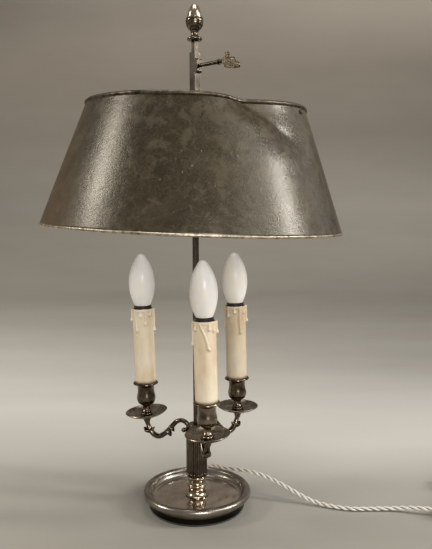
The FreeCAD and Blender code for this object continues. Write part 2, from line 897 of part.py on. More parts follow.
def switch_half(upper):
    """One half of the switch's case, with rounded ends and a cord hole at each end."""
    end = switch_length
    tall = switch_height / 2
    body = Part.makeBox(end, switch_width, tall, Vector(0, -switch_width / 2, 0 if upper else -tall))
    corners = [e for e in body.Edges if e.BoundBox.ZLength > tall - 1e-3]
    body = body.makeFillet(switch_width * 0.36, corners)
    outer = tall if upper else -tall
    rim = [e for e in body.Edges if e.BoundBox.ZLength < 1e-3 and abs(e.CenterOfMass.z - outer) < 1e-3]
    body = body.makeChamfer(1.8, rim)
    middle = end / 2
    room = Part.makeBox(rocker_length + 2 * loose_gap, rocker_width + 2 * loose_gap, 2 * tall,
                        Vector(middle - rocker_length / 2 - loose_gap, -rocker_width / 2 - loose_gap,
                               -tall + 3.5))
    axle = Part.makeCylinder(rocker_axle_radius + bore_gap, rocker_width + 8.0,
                             Vector(middle, -rocker_width / 2 - 4.0, rocker_axle_height), Vector(0, 1, 0))
    return body.cut(room).cut(axle)


def rocker():
    """Rocker on its axle, pressed down at the far end."""
    middle = switch_length / 2
    half = rocker_length / 2
    face = profile_face([
        (middle - half + 1.0, 1.0), (middle, -1.0), (middle + half - 1.0, 1.0),
        (middle + half - 0.6, 9.2), (middle, 7.0, middle - half + 0.6, 9.2),
    ])
    body = face.extrude(Vector(0, rocker_width, 0))
    body.translate(Vector(0, -rocker_width / 2, 0))
    body.rotate(Vector(middle, 0, rocker_axle_height), Vector(0, 1, 0), rocker_tilt)
    axle = Part.makeCylinder(rocker_axle_radius, rocker_width + 7.0,
                             Vector(middle, -rocker_width / 2 - 3.5, rocker_axle_height), Vector(0, 1, 0))
    return joined([body, axle])


class Coil:
    """Path of the put-away coil, made of half turns that meet tangentially."""

    def __init__(self, start, heading):
        self.here = start
        self.way = heading
        self.edges = []

    def straight(self, length):
        there = self.here + self.way * length
        self.edges.append(Part.LineSegment(self.here, there).toShape())
        self.here = there

    def quarter(self, corner, there):
        """Arc from here to there, tangent to the legs that meet at the corner."""
        first = (corner - self.here).normalize()
        second = (there - corner).normalize()
        chord = (there - self.here).normalize()
        turn = first.getAngle(second)
        radius = (corner - self.here).Length / math.tan(turn / 2)
        outward = (corner - (self.here + there) * 0.5).normalize()
        sagitta = radius * (1 - math.cos(turn / 2))
        middle = (self.here + there) * 0.5 + outward * sagitta
        self.edges.append(Part.Arc(self.here, middle, there).toShape())
        self.here = there
        self.way = second if chord.Length else first

    def half_turn(self, radius, rise):
        """Half turn to the left that climbs by the rise, as two tangent quarter arcs."""
        way = Vector(self.way.x, self.way.y, 0).normalize()
        left = Vector(-way.y, way.x, 0)
        end = self.here + left * (2 * radius) + Vector(0, 0, rise)
        leg = math.hypot(radius, rise / 2)
        top = (self.here + end) * 0.5 + way * leg
        self.quarter(self.here + way * leg, top)
        self.quarter(end + way * leg, end)
        self.way = way * -1


def coil_wire():
    """Out of the switch, round inwards in one layer, outwards in the next, to the plug."""
    way = cord_heading()
    start = Vector(cord_route[-1][0], cord_route[-1][1], switch_axis_height) + way * switch_length
    coil = Coil(start, way)
    coil.straight(coil_lead_length)
    ground = cord_diameter / 2
    coil.half_turn(coil_lead_radius, ground - switch_axis_height)
    radius = coil_lead_radius - coil_pitch
    for _ in range(2 * coil_turns_per_layer - 1):
        coil.half_turn(radius, 0)
        radius -= coil_pitch / 2
    coil.half_turn(radius, coil_pitch)
    for _ in range(2 * coil_turns_per_layer - 2):
        radius += coil_pitch / 2
        coil.half_turn(radius, 0)
    coil.straight(plug_clearance)
    return Part.Wire(coil.edges), coil


def least_self_gap(wire, diameter):
    """Least gap of a tube to itself, from points along its path a tube's width apart."""
    points = wire.discretize(Number=int(wire.Length / 2.0))
    step = wire.Length / (len(points) - 1)
    skip = int(4 * diameter / step)
    least = min(
        a.distanceToPoint(b)
        for i, a in enumerate(points)
        for b in points[i + skip:]
    )
    return least - diameter


def plug(coil):
    """Two-pin plug lying where the coil ends, its tail on the cord's end."""
    way = coil.way
    angle = math.degrees(math.atan2(way.y, way.x))
    tail = 12.0
    thick = 2 * plug_axis_height
    body = Part.makeBox(
        plug_length - tail, plug_width, thick, Vector(tail, -plug_width / 2, -thick / 2)
    )
    body = body.makeFillet(thick * 0.4, [e for e in body.Edges if e.BoundBox.XLength > 1])
    cone = Part.makeCone(lying_height + 2.4, thick * 0.48, tail + 1, Vector(0, 0, 0), Vector(1, 0, 0))
    body = joined([body, cone])
    pins = [
        Part.makeCylinder(plug_pin_radius, plug_pin_length, Vector(plug_length, side, 0), Vector(1, 0, 0))
        for side in (-plug_pin_spacing / 2, plug_pin_spacing / 2)
    ]
    placed = []
    for shape in (body, Part.makeCompound(pins)):
        copy = shape.copy()
        copy.rotate(Vector(0, 0, 0), Vector(0, 0, 1), angle)
        copy.translate(Vector(coil.here.x, coil.here.y, plug_axis_height))
        placed.append(copy)
    return placed


def main():
    save("base_felt", upright(felt_radius, 0, felt_top))
    save("base_dish", base_dish())
    save("base_weight", base_weight())
    save("tie_washer", tie_washer())
    save("tie_nut", tie_nut())
    save("tie_tube", tie_tube())
    save("column_foot", column_foot())
    save("column_shaft", column_shaft())
    save("hub", hub())
    save("wiring", wiring())
    save("cord_bush", cord_bush())
    one_arm = arm()
    candle = candle_parts()
    for place, azimuth in arm_azimuths.items():
        save("arm_" + place, seated_arm(one_arm, azimuth))
        save("drip_pan_" + place, on_arm(pan(pan_skews[place]), azimuth))
        for name, shape in candle.items():
            save(name + "_" + place, on_arm(shape, azimuth))
    save("stem", stem())
    save("shade_carrier", shade_carrier())
    save("shade_key", shade_key())
    wall = shade_wall()
    save("shade_wall", hang(wall))
    save("shade_top_bead", hang(shade_bead(top_bead_radius, shade_top_radius, shade_height, 1)))
    save("shade_bottom_bead", hang(shade_bead(bottom_bead_radius, shade_bottom_radius, 0, -1)))
    save("spider", spider())
    save("shade_screws", shade_screws())
    save("shade_nuts", shade_nuts())
    save("finial_cup", finial_cup())
    save("finial_nut", finial_nut())
    tube, _ = cord()
    save("cord", tube)
    save("switch_upper_case", on_cord_axis(switch_half(True), 0, switch_axis_height))
    save("switch_lower_case", on_cord_axis(switch_half(False), 0, switch_axis_height))
    save("switch_rocker", on_cord_axis(rocker(), 0, switch_axis_height))
    wire, coil = coil_wire()
    print("coil length", round(wire.Length, 1), "least gap", round(least_self_gap(wire, cord_diameter), 2))
    save("cord_coil", swept(wire, cord_diameter / 2))
    plug_body, plug_pins = plug(coil)
    save("plug_body", plug_body)
    save("plug_pins", plug_pins)


main()
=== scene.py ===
import json
import math

import bmesh
import bpy
from mathutils import Matrix, Vector, noise


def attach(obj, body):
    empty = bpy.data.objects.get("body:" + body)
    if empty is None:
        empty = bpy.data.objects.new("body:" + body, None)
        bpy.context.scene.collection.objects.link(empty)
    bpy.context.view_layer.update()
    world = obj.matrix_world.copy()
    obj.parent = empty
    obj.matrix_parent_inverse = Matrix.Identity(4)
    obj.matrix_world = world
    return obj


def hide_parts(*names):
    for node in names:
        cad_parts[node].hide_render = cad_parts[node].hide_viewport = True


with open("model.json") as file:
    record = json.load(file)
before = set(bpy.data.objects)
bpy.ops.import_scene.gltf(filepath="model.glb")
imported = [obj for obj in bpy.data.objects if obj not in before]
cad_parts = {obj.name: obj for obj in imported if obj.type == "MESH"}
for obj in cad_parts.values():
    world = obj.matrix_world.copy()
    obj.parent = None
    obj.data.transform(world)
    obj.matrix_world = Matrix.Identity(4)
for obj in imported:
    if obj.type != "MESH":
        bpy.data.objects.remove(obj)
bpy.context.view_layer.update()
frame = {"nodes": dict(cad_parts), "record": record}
PLACES = ("front", "right", "left")


# Node helpers


def new_material(name):
    material = bpy.data.materials.new(name)
    material.use_nodes = True
    tree = material.node_tree
    return material, tree, tree.nodes["Principled BSDF"]


def node(tree, kind, inputs=None, **settings):
    made = tree.nodes.new("ShaderNode" + kind)
    for key, value in settings.items():
        setattr(made, key, value)
    for key, value in (inputs or {}).items():
        if isinstance(value, bpy.types.NodeSocket):
            tree.links.new(value, made.inputs[key])
        else:
            made.inputs[key].default_value = value
    return made


def math_node(tree, operation, *values):
    return node(tree, "Math", dict(enumerate(values)), operation=operation).outputs[0]


def ramp(tree, factor, stops):
    made = node(tree, "ValToRGB", {"Fac": factor})
    elements = made.color_ramp.elements
    while len(elements) < len(stops):
        elements.new(0.5)
    for element, (place, colour) in zip(elements, stops):
        element.position = place
        element.color = (*colour, 1.0)
    return made.outputs["Color"]


def level(tree, factor, low, high):
    """Maps 0..1 to low..high."""
    return node(tree, "MapRange", {"Value": factor, "To Min": low, "To Max": high}).outputs[0]


def window(tree, value, start, end):
    """0 below start, 1 above end, smooth between."""
    made = node(tree, "MapRange", {"Value": value, "From Min": start, "From Max": end})
    made.interpolation_type = "SMOOTHSTEP"
    return made.outputs[0]


def mix(tree, factor, first, second):
    made = node(tree, "Mix", data_type="RGBA")
    inputs = made.inputs
    for socket, value in ((inputs[0], factor), (inputs[6], first), (inputs[7], second)):
        if isinstance(value, bpy.types.NodeSocket):
            tree.links.new(value, socket)
        else:
            socket.default_value = (*value, 1.0) if isinstance(value, tuple) else value
    return made.outputs[2]


def position(tree):
    return node(tree, "NewGeometry").outputs["Position"]


def noise_at(tree, vector, scale, detail=4.0, rough=0.55, distortion=0.0):
    return node(
        tree, "TexNoise",
        {"Vector": vector, "Scale": scale, "Detail": detail, "Roughness": rough, "Distortion": distortion},
    ).outputs["Fac"]


def stretch(tree, vector, factors):
    return node(tree, "Mapping", {"Vector": vector, "Scale": factors}).outputs[0]


def from_axis(tree, vector):
    """Distance from the lamp's upright axis."""
    flat = stretch(tree, vector, (1.0, 1.0, 0.0))
    return node(tree, "VectorMath", {0: flat}, operation="LENGTH").outputs["Value"]


def bump(tree, shader, height, strength, distance):
    made = node(tree, "Bump", {"Height": height, "Strength": strength, "Distance": distance})
    tree.links.new(made.outputs[0], shader.inputs["Normal"])
    return made


def wire(tree, output, shader, name):
    tree.links.new(output, shader.inputs[name])


# Materials


def aged_metal(
    name, bright, dull, dark, rough=(0.16, 0.42), grain=60.0, bump_height=0.00015, shaded_below=None, rim=None,
):
    """Polished metal with tarnish in clouds, darker in recesses from tarnish and painted shade, and rougher where
    it is dull.

    The pair of heights in metres that paints shade low down: the metal goes from black to clean between them.
    Rim is a pair of distances from the lamp's axis and the bright and dull tones beyond them.
    """
    material, tree, shader = new_material(name)
    here = position(tree)
    clouds = noise_at(tree, here, grain, 6.0, 0.62)
    fine = noise_at(tree, here, grain * 9.0, 5.0, 0.65)
    tone = ramp(tree, clouds, [(0.33, dull), (0.62, bright)])
    roughness = level(tree, clouds, rough[1], rough[0])
    if rim:
        start, end, rim_bright, rim_dull = rim
        outward = window(tree, from_axis(tree, here), start, end)
        tone = mix(tree, outward, tone, ramp(tree, clouds, [(0.33, rim_dull), (0.62, rim_bright)]))
        roughness = math_node(tree, "ADD", roughness, math_node(tree, "MULTIPLY", outward, 0.12))
    # Painted shade: ambient occlusion darkens the metal in recesses, along with its tarnish there.
    hollow = node(tree, "AmbientOcclusion", {"Distance": 0.006}, samples=6).outputs["AO"]
    shadow = window(tree, hollow, 0.35, 0.92)
    tone = mix(tree, shadow, dark, tone)
    specks = window(tree, fine, 0.60, 0.74)
    tone = mix(tree, math_node(tree, "MULTIPLY", specks, 0.45), tone, dark)
    if shaded_below:
        # Painted shade: the metal is black below the lower height and clean above the higher one.
        height = node(tree, "SeparateXYZ", {"Vector": here}).outputs[2]
        tone = mix(tree, window(tree, height, *shaded_below), dark, tone)
    wire(tree, tone, shader, "Base Color")
    shader.inputs["Metallic"].default_value = 1.0
    wire(tree, roughness, shader, "Roughness")
    bump(tree, shader, fine, 0.5, bump_height)
    return material


def paint_shade(name):
    """Old japanned paint: mottled brown over iron, half gloss, scuffed and flecked."""
    material, tree, shader = new_material(name)
    here = position(tree)
    broad = noise_at(tree, here, 16.0, 5.0, 0.62, 0.6)
    blotch = noise_at(tree, here, 46.0, 6.0, 0.68, 0.5)
    fine = noise_at(tree, here, 380.0, 5.0, 0.7)
    tone = ramp(tree, broad, [
        (0.32, (0.016, 0.0112, 0.0052)), (0.52, (0.029, 0.0218, 0.0112)), (0.72, (0.051, 0.040, 0.023)),
    ])
    tone = mix(tree, level(tree, window(tree, blotch, 0.49, 0.60), 0.0, 0.55), tone, (0.078, 0.064, 0.041))
    swirls = noise_at(tree, here, 60.0, 5.0, 0.7, 1.2)
    ridge = math_node(tree, "ABSOLUTE", math_node(tree, "SUBTRACT", swirls, 0.5))
    veins = math_node(tree, "SUBTRACT", 1.0, window(tree, ridge, 0.0, 0.035))
    tone = mix(tree, math_node(tree, "MULTIPLY", veins, 0.30), tone, (0.105, 0.088, 0.060))
    side = node(tree, "SeparateXYZ", {"Vector": here}).outputs[0]
    worn = math_node(tree, "MULTIPLY", blotch, 1.5)
    far_left = math_node(tree, "SUBTRACT", 1.0, window(tree, side, -0.170, -0.110))
    rust = math_node(tree, "MULTIPLY", far_left, worn)
    tone = mix(tree, rust, tone, (0.088, 0.052, 0.024))
    flecks = window(tree, noise_at(tree, here, 260.0, 3.0, 0.5), 0.70, 0.76)
    tone = mix(tree, math_node(tree, "MULTIPLY", flecks, 0.7), tone, (0.26, 0.21, 0.14))
    wire(tree, tone, shader, "Base Color")
    grain = math_node(tree, "ADD", level(tree, blotch, 0.08, 0.24), level(tree, fine, 0.04, 0.22))
    grain = math_node(tree, "ADD", grain, math_node(tree, "MULTIPLY", rust, 0.25))
    wire(tree, grain, shader, "Roughness")
    shader.inputs["Specular IOR Level"].default_value = 0.53
    shader.inputs["Specular Tint"].default_value = (1.0, 0.93, 0.78, 1.0)
    shader.inputs["Coat Weight"].default_value = 0.12
    shader.inputs["Coat Tint"].default_value = (1.0, 0.95, 0.85, 1.0)
    shader.inputs["Coat Roughness"].default_value = 0.22
    coarse = math_node(tree, "MULTIPLY", blotch, 0.8)
    height = math_node(tree, "ADD", coarse, math_node(tree, "MULTIPLY", fine, 0.30))
    bump(tree, shader, height, 0.55, 0.0012)
    return material


def cream_wax(name, gain=1.0):
    """Cream coating of the sleeves, yellowed in clouds, with painted shade in its hollows; gain darkens it all, to
    paint a sleeve in shade.
    """
    material, tree, shader = new_material(name)
    here = position(tree)
    clouds = noise_at(tree, stretch(tree, here, (1.0, 1.0, 0.45)), 42.0, 5.0, 0.6)
    tones = ((0.28, (0.68, 0.52, 0.34)), (0.50, (0.79, 0.67, 0.49)), (0.72, (0.86, 0.78, 0.63)))
    tone = ramp(tree, clouds, [(place, tuple(gain * v for v in colour)) for place, colour in tones])
    # Painted shade: ambient occlusion darkens the wax round its runs and in hollows.
    hollow = node(tree, "AmbientOcclusion", {"Distance": 0.004}, samples=6).outputs["AO"]
    tone = mix(tree, window(tree, hollow, 0.45, 0.99), (0.34, 0.21, 0.10), tone)
    wire(tree, tone, shader, "Base Color")
    shader.inputs["Roughness"].default_value = 0.42
    shader.inputs["Subsurface Weight"].default_value = 0.08
    shader.inputs["Subsurface Radius"].default_value = (0.006, 0.004, 0.002)
    shader.inputs["Subsurface Scale"].default_value = 0.5
    bump(tree, shader, noise_at(tree, here, 160.0, 4.0, 0.6), 0.25, 0.0006)
    return material


def opal_glass(name):
    material, tree, shader = new_material(name)
    here = position(tree)
    streaks = noise_at(tree, stretch(tree, here, (1.0, 1.0, 0.10)), 170.0, 4.0, 0.6)
    clouds = noise_at(tree, here, 30.0, 3.0)
    tone = ramp(tree, clouds, [(0.3, (0.96, 0.88, 0.76)), (0.7, (0.96, 0.95, 0.93))])
    tone = mix(tree, math_node(tree, "MULTIPLY", window(tree, streaks, 0.45, 0.62), 0.5), tone, (0.86, 0.86, 0.86))
    wire(tree, tone, shader, "Base Color")
    shader.inputs["Roughness"].default_value = 0.34
    shader.inputs["Specular IOR Level"].default_value = 0.4
    shader.inputs["Coat Weight"].default_value = 0.15
    shader.inputs["Coat Roughness"].default_value = 0.10
    bump(tree, shader, noise_at(tree, here, 18.0, 2.0), 0.05, 0.0008)
    return material


def moulded(name, colour, roughness, grain=900.0):
    material, tree, shader = new_material(name)
    here = position(tree)
    clouds = noise_at(tree, here, 50.0, 4.0)
    darker = tuple(0.8 * v for v in colour)
    wire(tree, mix(tree, clouds, darker, colour), shader, "Base Color")
    wire(tree, level(tree, clouds, roughness * 0.85, roughness * 1.2), shader, "Roughness")
    bump(tree, shader, noise_at(tree, here, grain, 2.0), 0.15, 0.0002)
    return material


def felt(name):
    material, tree, shader = new_material(name)
    here = position(tree)
    fibres = noise_at(tree, here, 1500.0, 4.0, 0.8)
    tone = ramp(tree, fibres, [(0.3, (0.010, 0.016, 0.011)), (0.7, (0.030, 0.045, 0.032))])
    wire(tree, tone, shader, "Base Color")
    shader.inputs["Roughness"].default_value = 0.95
    shader.inputs["Sheen Weight"].default_value = 0.4
    bump(tree, shader, fibres, 0.6, 0.0006)
    return material


YARNS_AROUND = 6.0
YARNS_PER_METRE = 520.0


def cord_cloth(name):
    """Braided cotton sleeve: ivory yarns in crossing spirals, darker and browner near the column, with painted
    shade between the strands.
    """
    material, tree, shader = new_material(name)
    uv = node(tree, "UVMap").outputs[0]
    split = node(tree, "SeparateXYZ", {"Vector": uv})
    around, along = split.outputs[0], split.outputs[1]
    spread = math_node(tree, "MULTIPLY", around, YARNS_AROUND)
    climb = math_node(tree, "MULTIPLY", along, YARNS_PER_METRE)
    rising = math_node(tree, "ADD", spread, climb)
    falling = math_node(tree, "SUBTRACT", spread, climb)
    first = math_node(tree, "SINE", math_node(tree, "MULTIPLY", rising, math.tau))
    second = math_node(tree, "SINE", math_node(tree, "MULTIPLY", falling, math.tau))
    weave = level(tree, math_node(tree, "MAXIMUM", first, second), 0.0, 1.0)
    hollow = node(tree, "AmbientOcclusion", {"Distance": 0.0035}, samples=8).outputs["AO"]
    tone = ramp(tree, weave, [(0.2, (0.58, 0.52, 0.44)), (0.8, (0.93, 0.90, 0.84))])
    # Darker and browner within 45 to 90 millimetres of the lamp's axis.
    near_column = math_node(tree, "SUBTRACT", 1.0, window(tree, from_axis(tree, position(tree)), 0.045, 0.090))
    tone = mix(tree, math_node(tree, "MULTIPLY", near_column, 0.7), tone, (0.30, 0.23, 0.155))
    # Painted shade: ambient occlusion darkens the cloth between the strands.
    tone = mix(tree, window(tree, hollow, 0.38, 0.95), (0.05, 0.037, 0.025), tone)
    wire(tree, tone, shader, "Base Color")
    shader.inputs["Roughness"].default_value = 0.8
    shader.inputs["Sheen Weight"].default_value = 0.3
    bump(tree, shader, weave, 0.5, 0.0004)
    return material


silver = aged_metal(
    "worn silver plate", (0.62, 0.53, 0.41), (0.33, 0.26, 0.18), (0.03, 0.02, 0.012), (0.10, 0.26), 38.0,
)
dish_metal = aged_metal(
    "dish plate", (0.64, 0.585, 0.535), (0.35, 0.30, 0.245), (0.018, 0.013, 0.009), (0.09, 0.25), 34.0,
    # The skirt under the dish's rim is painted black as shade.
    shaded_below=(0.0080, 0.0132), rim=(0.0560, 0.0620, (0.39, 0.350, 0.305), (0.19, 0.165, 0.138)),
)
bronze = aged_metal(
    "tarnished plate", (0.20, 0.165, 0.12), (0.065, 0.050, 0.034), (0.008, 0.006, 0.004), (0.12, 0.27), 70.0,
)
pan_metal = aged_metal(
    "engraved plate", (0.36, 0.31, 0.25), (0.15, 0.125, 0.095), (0.014, 0.010, 0.007), (0.20, 0.36), 150.0,
)
stem_metal = aged_metal(
    "stem metal", (0.15, 0.128, 0.104), (0.055, 0.046, 0.036), (0.014, 0.010, 0.007), (0.20, 0.38), 55.0,
)
# Darker finish for the top wired edge: dark paint, with painted shade for the underside of the bead.
dark_edge = aged_metal(
    "dark edge", (0.17, 0.140, 0.100), (0.030, 0.024, 0.018), (0.010, 0.008, 0.006), (0.32, 0.50), 150.0,
)
gilding = aged_metal(
    "worn gilding", (0.66, 0.58, 0.45), (0.17, 0.138, 0.098), (0.02, 0.015, 0.010), (0.30, 0.50), 170.0,
)
steel = aged_metal(
    "zinc steel", (0.62, 0.61, 0.58), (0.45, 0.44, 0.42), (0.1, 0.09, 0.08), (0.25, 0.45), 80.0,
)
dark_cup = aged_metal(
    "dark cup", (0.195, 0.160, 0.118), (0.060, 0.046, 0.032), (0.006, 0.0045, 0.003), (0.10, 0.24), 80.0,
)
# Brighter copy of the cup metal for the front cup, standing in for the light that falls on it.
lit_front_cup = aged_metal(
    "lit front cup", (0.37, 0.305, 0.235), (0.120, 0.092, 0.066), (0.008, 0.006, 0.004), (0.12, 0.26), 70.0,
)
key_metal = aged_metal(
    "key metal", (0.15, 0.120, 0.085), (0.030, 0.023, 0.016), (0.006, 0.0045, 0.003), (0.16, 0.36), 130.0, 0.0006,
)
iron = aged_metal(
    "cast iron", (0.10, 0.095, 0.09), (0.06, 0.055, 0.05), (0.01, 0.01, 0.01), (0.55, 0.8), 120.0, 0.0006,
)
cap_metal = aged_metal(
    "bulb cap", (0.78, 0.76, 0.70), (0.60, 0.57, 0.50), (0.10, 0.09, 0.07), (0.2, 0.4), 90.0,
)
japan = paint_shade("japanned shade")
wax = cream_wax("cream wax")
# Darker copy of the wax for the right sleeve, standing in for the shade it sits in.
shaded_wax = cream_wax("shaded wax", 0.82)
opal = opal_glass("opal glass")
black = moulded("black moulding", (0.012, 0.011, 0.010), 0.35)
bakelite = moulded("dark bakelite", (0.022, 0.014, 0.009), 0.22)
rubber = moulded("insulation", (0.05, 0.045, 0.04), 0.6)
green_felt = felt("felt")
cloth = cord_cloth("cord cloth")

SLOT_MATERIALS = {
    "felt": green_felt, "cast_iron": iron, "steel": steel, "silver_plate": silver,
    "gilt_brass": bronze, "brass": stem_metal, "wire": rubber, "bush": black, "holder": black,
    "candle": wax, "bulb_cap": cap_metal, "opal_glass": opal, "shade_paint": japan,
    "shade_gilding": gilding, "cord_cloth": cloth, "switch_plastic": bakelite, "plug_pin": stem_metal,
}
NODE_MATERIALS = {
    "finial_nut": silver, "base_dish": dish_metal, "column_foot": silver, "shade_key": key_metal,
    **{"drip_pan_" + place: pan_metal for place in PLACES},
}
for part in frame["record"]["subparts"]:
    data = frame["nodes"][part["node"]].data
    data.materials.clear()
    data.materials.append(NODE_MATERIALS.get(part["node"], SLOT_MATERIALS[part["material_slot"]]))


def smooth_by_angle(obj, degrees=35):
    """Smooth shading with sharp edges kept."""
    mesh = obj.data
    mesh.shade_smooth()
    work = bmesh.new()
    work.from_mesh(mesh)
    for edge in work.edges:
        if len(edge.link_faces) == 2 and edge.calc_face_angle(0) > math.radians(degrees):
            edge.smooth = False
    work.to_mesh(mesh)
    work.free()


def add_object(name, mesh, body, material):
    obj = bpy.data.objects.new(name, mesh)
    bpy.context.scene.collection.objects.link(obj)
    mesh.materials.append(material)
    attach(obj, body)
    return obj


# Cord: the points that the line follows, in metres

CORD = 0.0062
LYING = CORD / 2
SWITCH_AXIS = 0.0088
EXIT = Vector((0.009268, 0.012299, 0.0470))
LEAD = [
    tuple(EXIT),
    (0.018295, 0.024279, 0.0470),
    (0.0370, 0.0350, 0.0363),
    (0.0565, 0.0330, 0.0345),
    (0.0780, 0.0255, 0.0341),
    (0.1000, 0.0170, 0.0285),
    (0.1210, 0.0065, 0.0210),
    (0.1410, -0.0025, 0.0115),
    (0.1595, -0.0095, 0.0046),
    (0.1800, -0.0200, LYING),
    (0.2050, -0.0286, LYING),
    (0.2340, -0.0286, LYING),
    (0.2640, -0.0296, LYING + 0.0006),
    (0.2900, -0.0386, SWITCH_AXIS),
    (0.3160, -0.0466, SWITCH_AXIS),
]


def route_line(points, step=0.0012):
    """Points along the smooth line that the route's points steer, evenly spaced."""
    curve = bpy.data.curves.new("route", "CURVE")
    curve.dimensions = "3D"
    curve.resolution_u = 24
    spline = curve.splines.new("NURBS")
    spline.points.add(len(points) - 1)
    for target, point in zip(spline.points, points):
        target.co = (*point, 1.0)
    spline.order_u = 3
    spline.use_endpoint_u = True
    holder = bpy.data.objects.new("route", curve)
    bpy.context.scene.collection.objects.link(holder)
    mesh = bpy.data.meshes.new_from_object(holder)
    line = [v.co.copy() for v in mesh.vertices]
    bpy.data.meshes.remove(mesh)
    bpy.data.objects.remove(holder)
    bpy.data.curves.remove(curve)
    total = sum((b - a).length for a, b in zip(line, line[1:]))
    count = int(total / step)
    even = [line[0]]
    want, gone = total / count, 0.0
    target = want
    for a, b in zip(line, line[1:]):
        span = (b - a).length
        while span > 0 and target <= gone + span + 1e-9 and len(even) < count:
            even.append(a.lerp(b, (target - gone) / span))
            target += want
        gone += span
    even.append(line[-1])
    return even


def frames_along(line):
    """A normal and a binormal at each point, without twist."""
    tangents = [
        (line[min(i + 1, len(line) - 1)] - line[max(i - 1, 0)]).normalized() for i in range(len(line))
    ]
    normal = tangents[0].orthogonal().normalized()
    frames = []
    for tangent in tangents:
        normal = (normal - tangent * normal.dot(tangent)).normalized()
        frames.append((normal.copy(), tangent.cross(normal)))
    return frames


def twisted_pair(name, line, diameter, lay, sides=10):
    """Two round strands twisted round the line, with UVs round and along them."""
    frames = frames_along(line)
    radius = diameter / 4
    work = bmesh.new()
    layer = work.loops.layers.uv.new("UVMap")
    for strand in range(2):
        centres = []
        gone = 0.0
        for i, point in enumerate(line):
            if i:
                gone += (point - line[i - 1]).length
            angle = math.tau * gone / lay + math.pi * strand
            normal, binormal = frames[i]
            centres.append(point + (normal * math.cos(angle) + binormal * math.sin(angle)) * radius)
        local = frames_along(centres)
        rings = []
        for centre, (normal, binormal) in zip(centres, local):
            rings.append([
                work.verts.new(
                    centre + (normal * math.cos(math.tau * k / sides)
                              + binormal * math.sin(math.tau * k / sides)) * radius * 1.02
                )
                for k in range(sides)
            ])
        step = (line[1] - line[0]).length
        for i, (low, high) in enumerate(zip(rings, rings[1:])):
            for k in range(sides):
                face = work.faces.new((low[k], low[(k + 1) % sides], high[(k + 1) % sides], high[k]))
                face.smooth = True
                corners = ((k, i), (k + 1, i), (k + 1, i + 1), (k, i + 1))
                for loop, (u, v) in zip(face.loops, corners):
                    loop[layer].uv = (u / sides, v * step)
        work.faces.new(list(reversed(rings[0])))
        work.faces.new(rings[-1])
    mesh = bpy.data.meshes.new(name)
    work.to_mesh(mesh)
    work.free()
    return mesh


LAY = 0.021  # length in which the two strands go once round each other

lead_line = route_line(LEAD)
lead = add_object("cord_lead", twisted_pair("cord_lead", lead_line, CORD, LAY), "lamp", cloth)
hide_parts("cord")

# Coil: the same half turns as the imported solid, as control points of one line

COIL_PITCH = CORD + 0.0006
COIL_LEAD_RADIUS = 0.051
COIL_LEAD_LENGTH = 0.036
COIL_TURNS = 3
PLUG_CLEARANCE = 0.038
SWITCH_LENGTH = 0.056


def coil_points():
    """Control points about 30 degrees apart round each half turn."""
    last, before = Vector(LEAD[-1]), Vector(LEAD[-2])
    way = Vector((last.x - before.x, last.y - before.y, 0)).normalized()
    here = last + way * SWITCH_LENGTH
    points = [here.copy(), here + way * COIL_LEAD_LENGTH * 0.5]
    here = here + way * COIL_LEAD_LENGTH
    radii = [(COIL_LEAD_RADIUS, LYING - SWITCH_AXIS)]
    radius = COIL_LEAD_RADIUS - COIL_PITCH
    for _ in range(2 * COIL_TURNS - 1):
        radii.append((radius, 0.0))
        radius -= COIL_PITCH / 2
    radii.append((radius, COIL_PITCH))
    for _ in range(2 * COIL_TURNS - 2):
        radius += COIL_PITCH / 2
        radii.append((radius, 0.0))
    steps = 6
    for radius, rise in radii:
        left = Vector((-way.y, way.x, 0))
        centre = here + left * radius
        for i in range(steps):
            angle = math.pi * (i + 0.5) / steps
            out = radius / math.cos(math.pi / (2 * steps))
            share = (i + 0.5) / steps
            eased = share * share * (3 - 2 * share)
            spot = centre + (way * math.sin(angle) - left * math.cos(angle)) * out
            spot.z = here.z + rise * eased
            points.append(spot)
        here = here + left * (2 * radius) + Vector((0, 0, rise))
        way = -way
    points.append(here + way * PLUG_CLEARANCE * 0.35)
    points.append(here + way * PLUG_CLEARANCE)
    return points, way


COIL, plug_way = coil_points()
coil_line = route_line(COIL)
coil_strands = twisted_pair("cord_coil_strands", coil_line, CORD, LAY, 8)
coil = add_object("cord_coil_strands", coil_strands, "lamp", cloth)
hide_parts("cord_coil")

# Shade: its wall and wired edges, with the dent at the front right

SHADE_TOP = 0.139
SHADE_BOTTOM = 0.193
SHADE_HEIGHT = 0.150
SHADE_LOW = 0.377
SHADE_PIVOT = 0.480
SHADE_TILT = math.radians(2.24)
SHADE_SHEET = 0.001
SHADE_SLOPE = math.atan2(SHADE_BOTTOM - SHADE_TOP, SHADE_HEIGHT)
SCREW_AZIMUTH = 61.0
CREASE_START = 23.0  # azimuth of the crease at the top edge, in degrees
CREASE_SWEEP = 84.0  # degrees that the crease would go round over the whole height
DENT_END = 62.0
DENT_DEPTH = 0.0145
DENT_SINK = 0.0034


def smooth(value):
    value = min(max(value, 0.0), 1.0)
    return value * value * (3 - 2 * value)


def facing(azimuth):
    """Unit vector on the table; azimuth 0 degrees faces the viewer, 90 is to the right."""
    angle = math.radians(azimuth)
    return Vector((math.sin(angle), -math.cos(angle), 0.0))


def hang(point):
    """From the shade's own frame to where it hangs, leaning a little to the right."""
    low = point + Vector((0, 0, SHADE_LOW - SHADE_PIVOT))
    return Matrix.Rotation(SHADE_TILT, 3, "Y") @ low + Vector((0, 0, SHADE_PIVOT))


def dent_at(azimuth, share):
    """Depth of the dent, 0 to 1: a facet at the top right behind a crease that runs down right."""
    crease = CREASE_START + CREASE_SWEEP * (1 - share)
    away = (azimuth - crease + 180.0) % 360.0 - 180.0
    if away < 0:
        side = math.exp(-0.7 * (-away / (8.0 + 45.0 * (1 - share))) ** 1.4)
    else:
        side = max(0.0, 1 - away / max(9.0, DENT_END - crease)) ** 1.3
    return side * (0.42 * smooth((share - 0.52) / 0.30) + 0.58 * smooth((share - 0.78) / 0.22))


